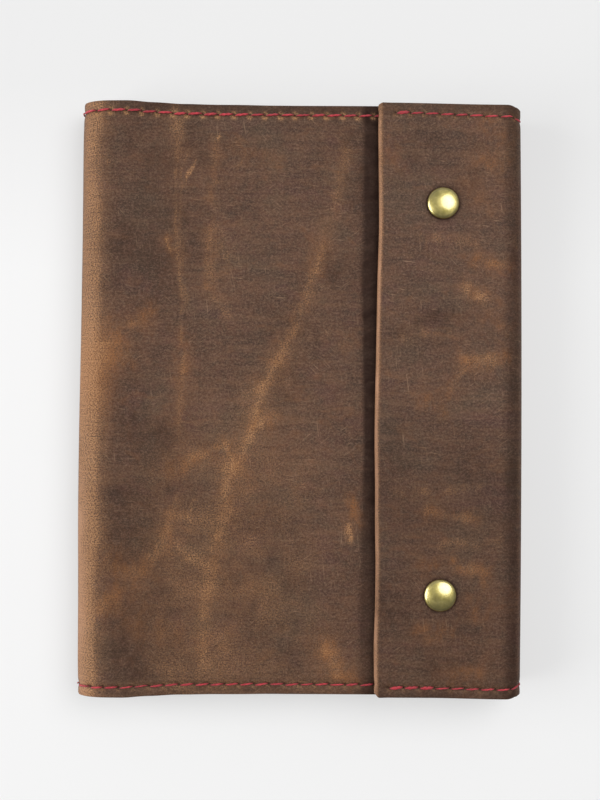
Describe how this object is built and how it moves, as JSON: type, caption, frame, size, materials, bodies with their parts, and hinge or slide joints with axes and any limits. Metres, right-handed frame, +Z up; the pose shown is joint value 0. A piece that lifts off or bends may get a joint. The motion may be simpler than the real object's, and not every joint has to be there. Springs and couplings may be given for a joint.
{
  "type": "leather notebook cover",
  "caption": "Brown leather wrap-around cover for an A5 notebook, with folded flap, domed snap fasteners and contrast saddle stitching along head and tail.",
  "frame": {"origin": "middle of the underside of the closed cover, on the surface it lies on", "axes": "+X from the spine to the fore-edge, +Y from tail to head, +Z up from the back cover to the front cover"},
  "size_m": [0.1674, 0.222, 0.0266],
  "materials": {
    "leather_outside": "waxy pull-up leather, dark brown with rust and tan rub marks, fine grain, satin",
    "leather_inside": "the same hide on its inward-facing folds, less rubbed, matt",
    "snap_brass": "antique brass, satin, olive toned",
    "thread": "waxed red thread, slightly glossy",
    "notebook_board": "plain black case board, matt",
    "paper": "cut edges of cream writing paper, matt"
  },
  "bodies": {
    "back": {"back_cover_leather": "leather_outside", "back_sleeve_leather": "leather_inside", "stitching_back_head": "thread", "stitching_back_tail": "thread", "notebook_back_board": "notebook_board", "notebook_pages": "paper"},
    "spine": {"spine_leather": "leather_outside", "stitching_spine_head": "thread", "stitching_spine_tail": "thread", "notebook_spine_board": "notebook_board"},
    "front": {"front_cover_leather": "leather_outside", "front_sleeve_leather": "leather_inside", "stitching_front_head": "thread", "stitching_front_tail": "thread", "notebook_front_board": "notebook_board", "upper_snap_stud": "snap_brass", "upper_snap_post": "snap_brass", "lower_snap_stud": "snap_brass", "lower_snap_post": "snap_brass"},
    "fore_edge": {"fore_edge_leather": "leather_outside", "fore_edge_lining": "leather_inside", "stitching_fore_edge_head": "thread", "stitching_fore_edge_tail": "thread"},
    "flap": {"flap_leather": "leather_outside", "flap_lining": "leather_inside", "stitching_flap_head": "thread", "stitching_flap_tail": "thread", "upper_snap_cap": "snap_brass", "upper_snap_socket": "snap_brass", "lower_snap_cap": "snap_brass", "lower_snap_socket": "snap_brass"}
  },
  "joints": [
    {"name": "fold_spine", "type": "hinge", "parent": "back", "child": "spine", "pos_m": [-0.0818, 0, 0.0017], "axis": [0, -1, 0], "range_deg": [0, 90]},
    {"name": "fold_front", "type": "hinge", "parent": "spine", "child": "front", "pos_m": [-0.0818, 0, 0.0183], "axis": [0, -1, 0], "range_deg": [0, 90]},
    {"name": "fold_fore_edge", "type": "hinge", "parent": "back", "child": "fore_edge", "pos_m": [0.08215, 0, 0.00135], "axis": [0, 1, 0], "range_deg": [0, 90]},
    {"name": "fold_flap", "type": "hinge", "parent": "fore_edge", "child": "flap", "pos_m": [0.08215, 0, 0.02315], "axis": [0, 1, 0], "range_deg": [0, 90]}
  ]
}
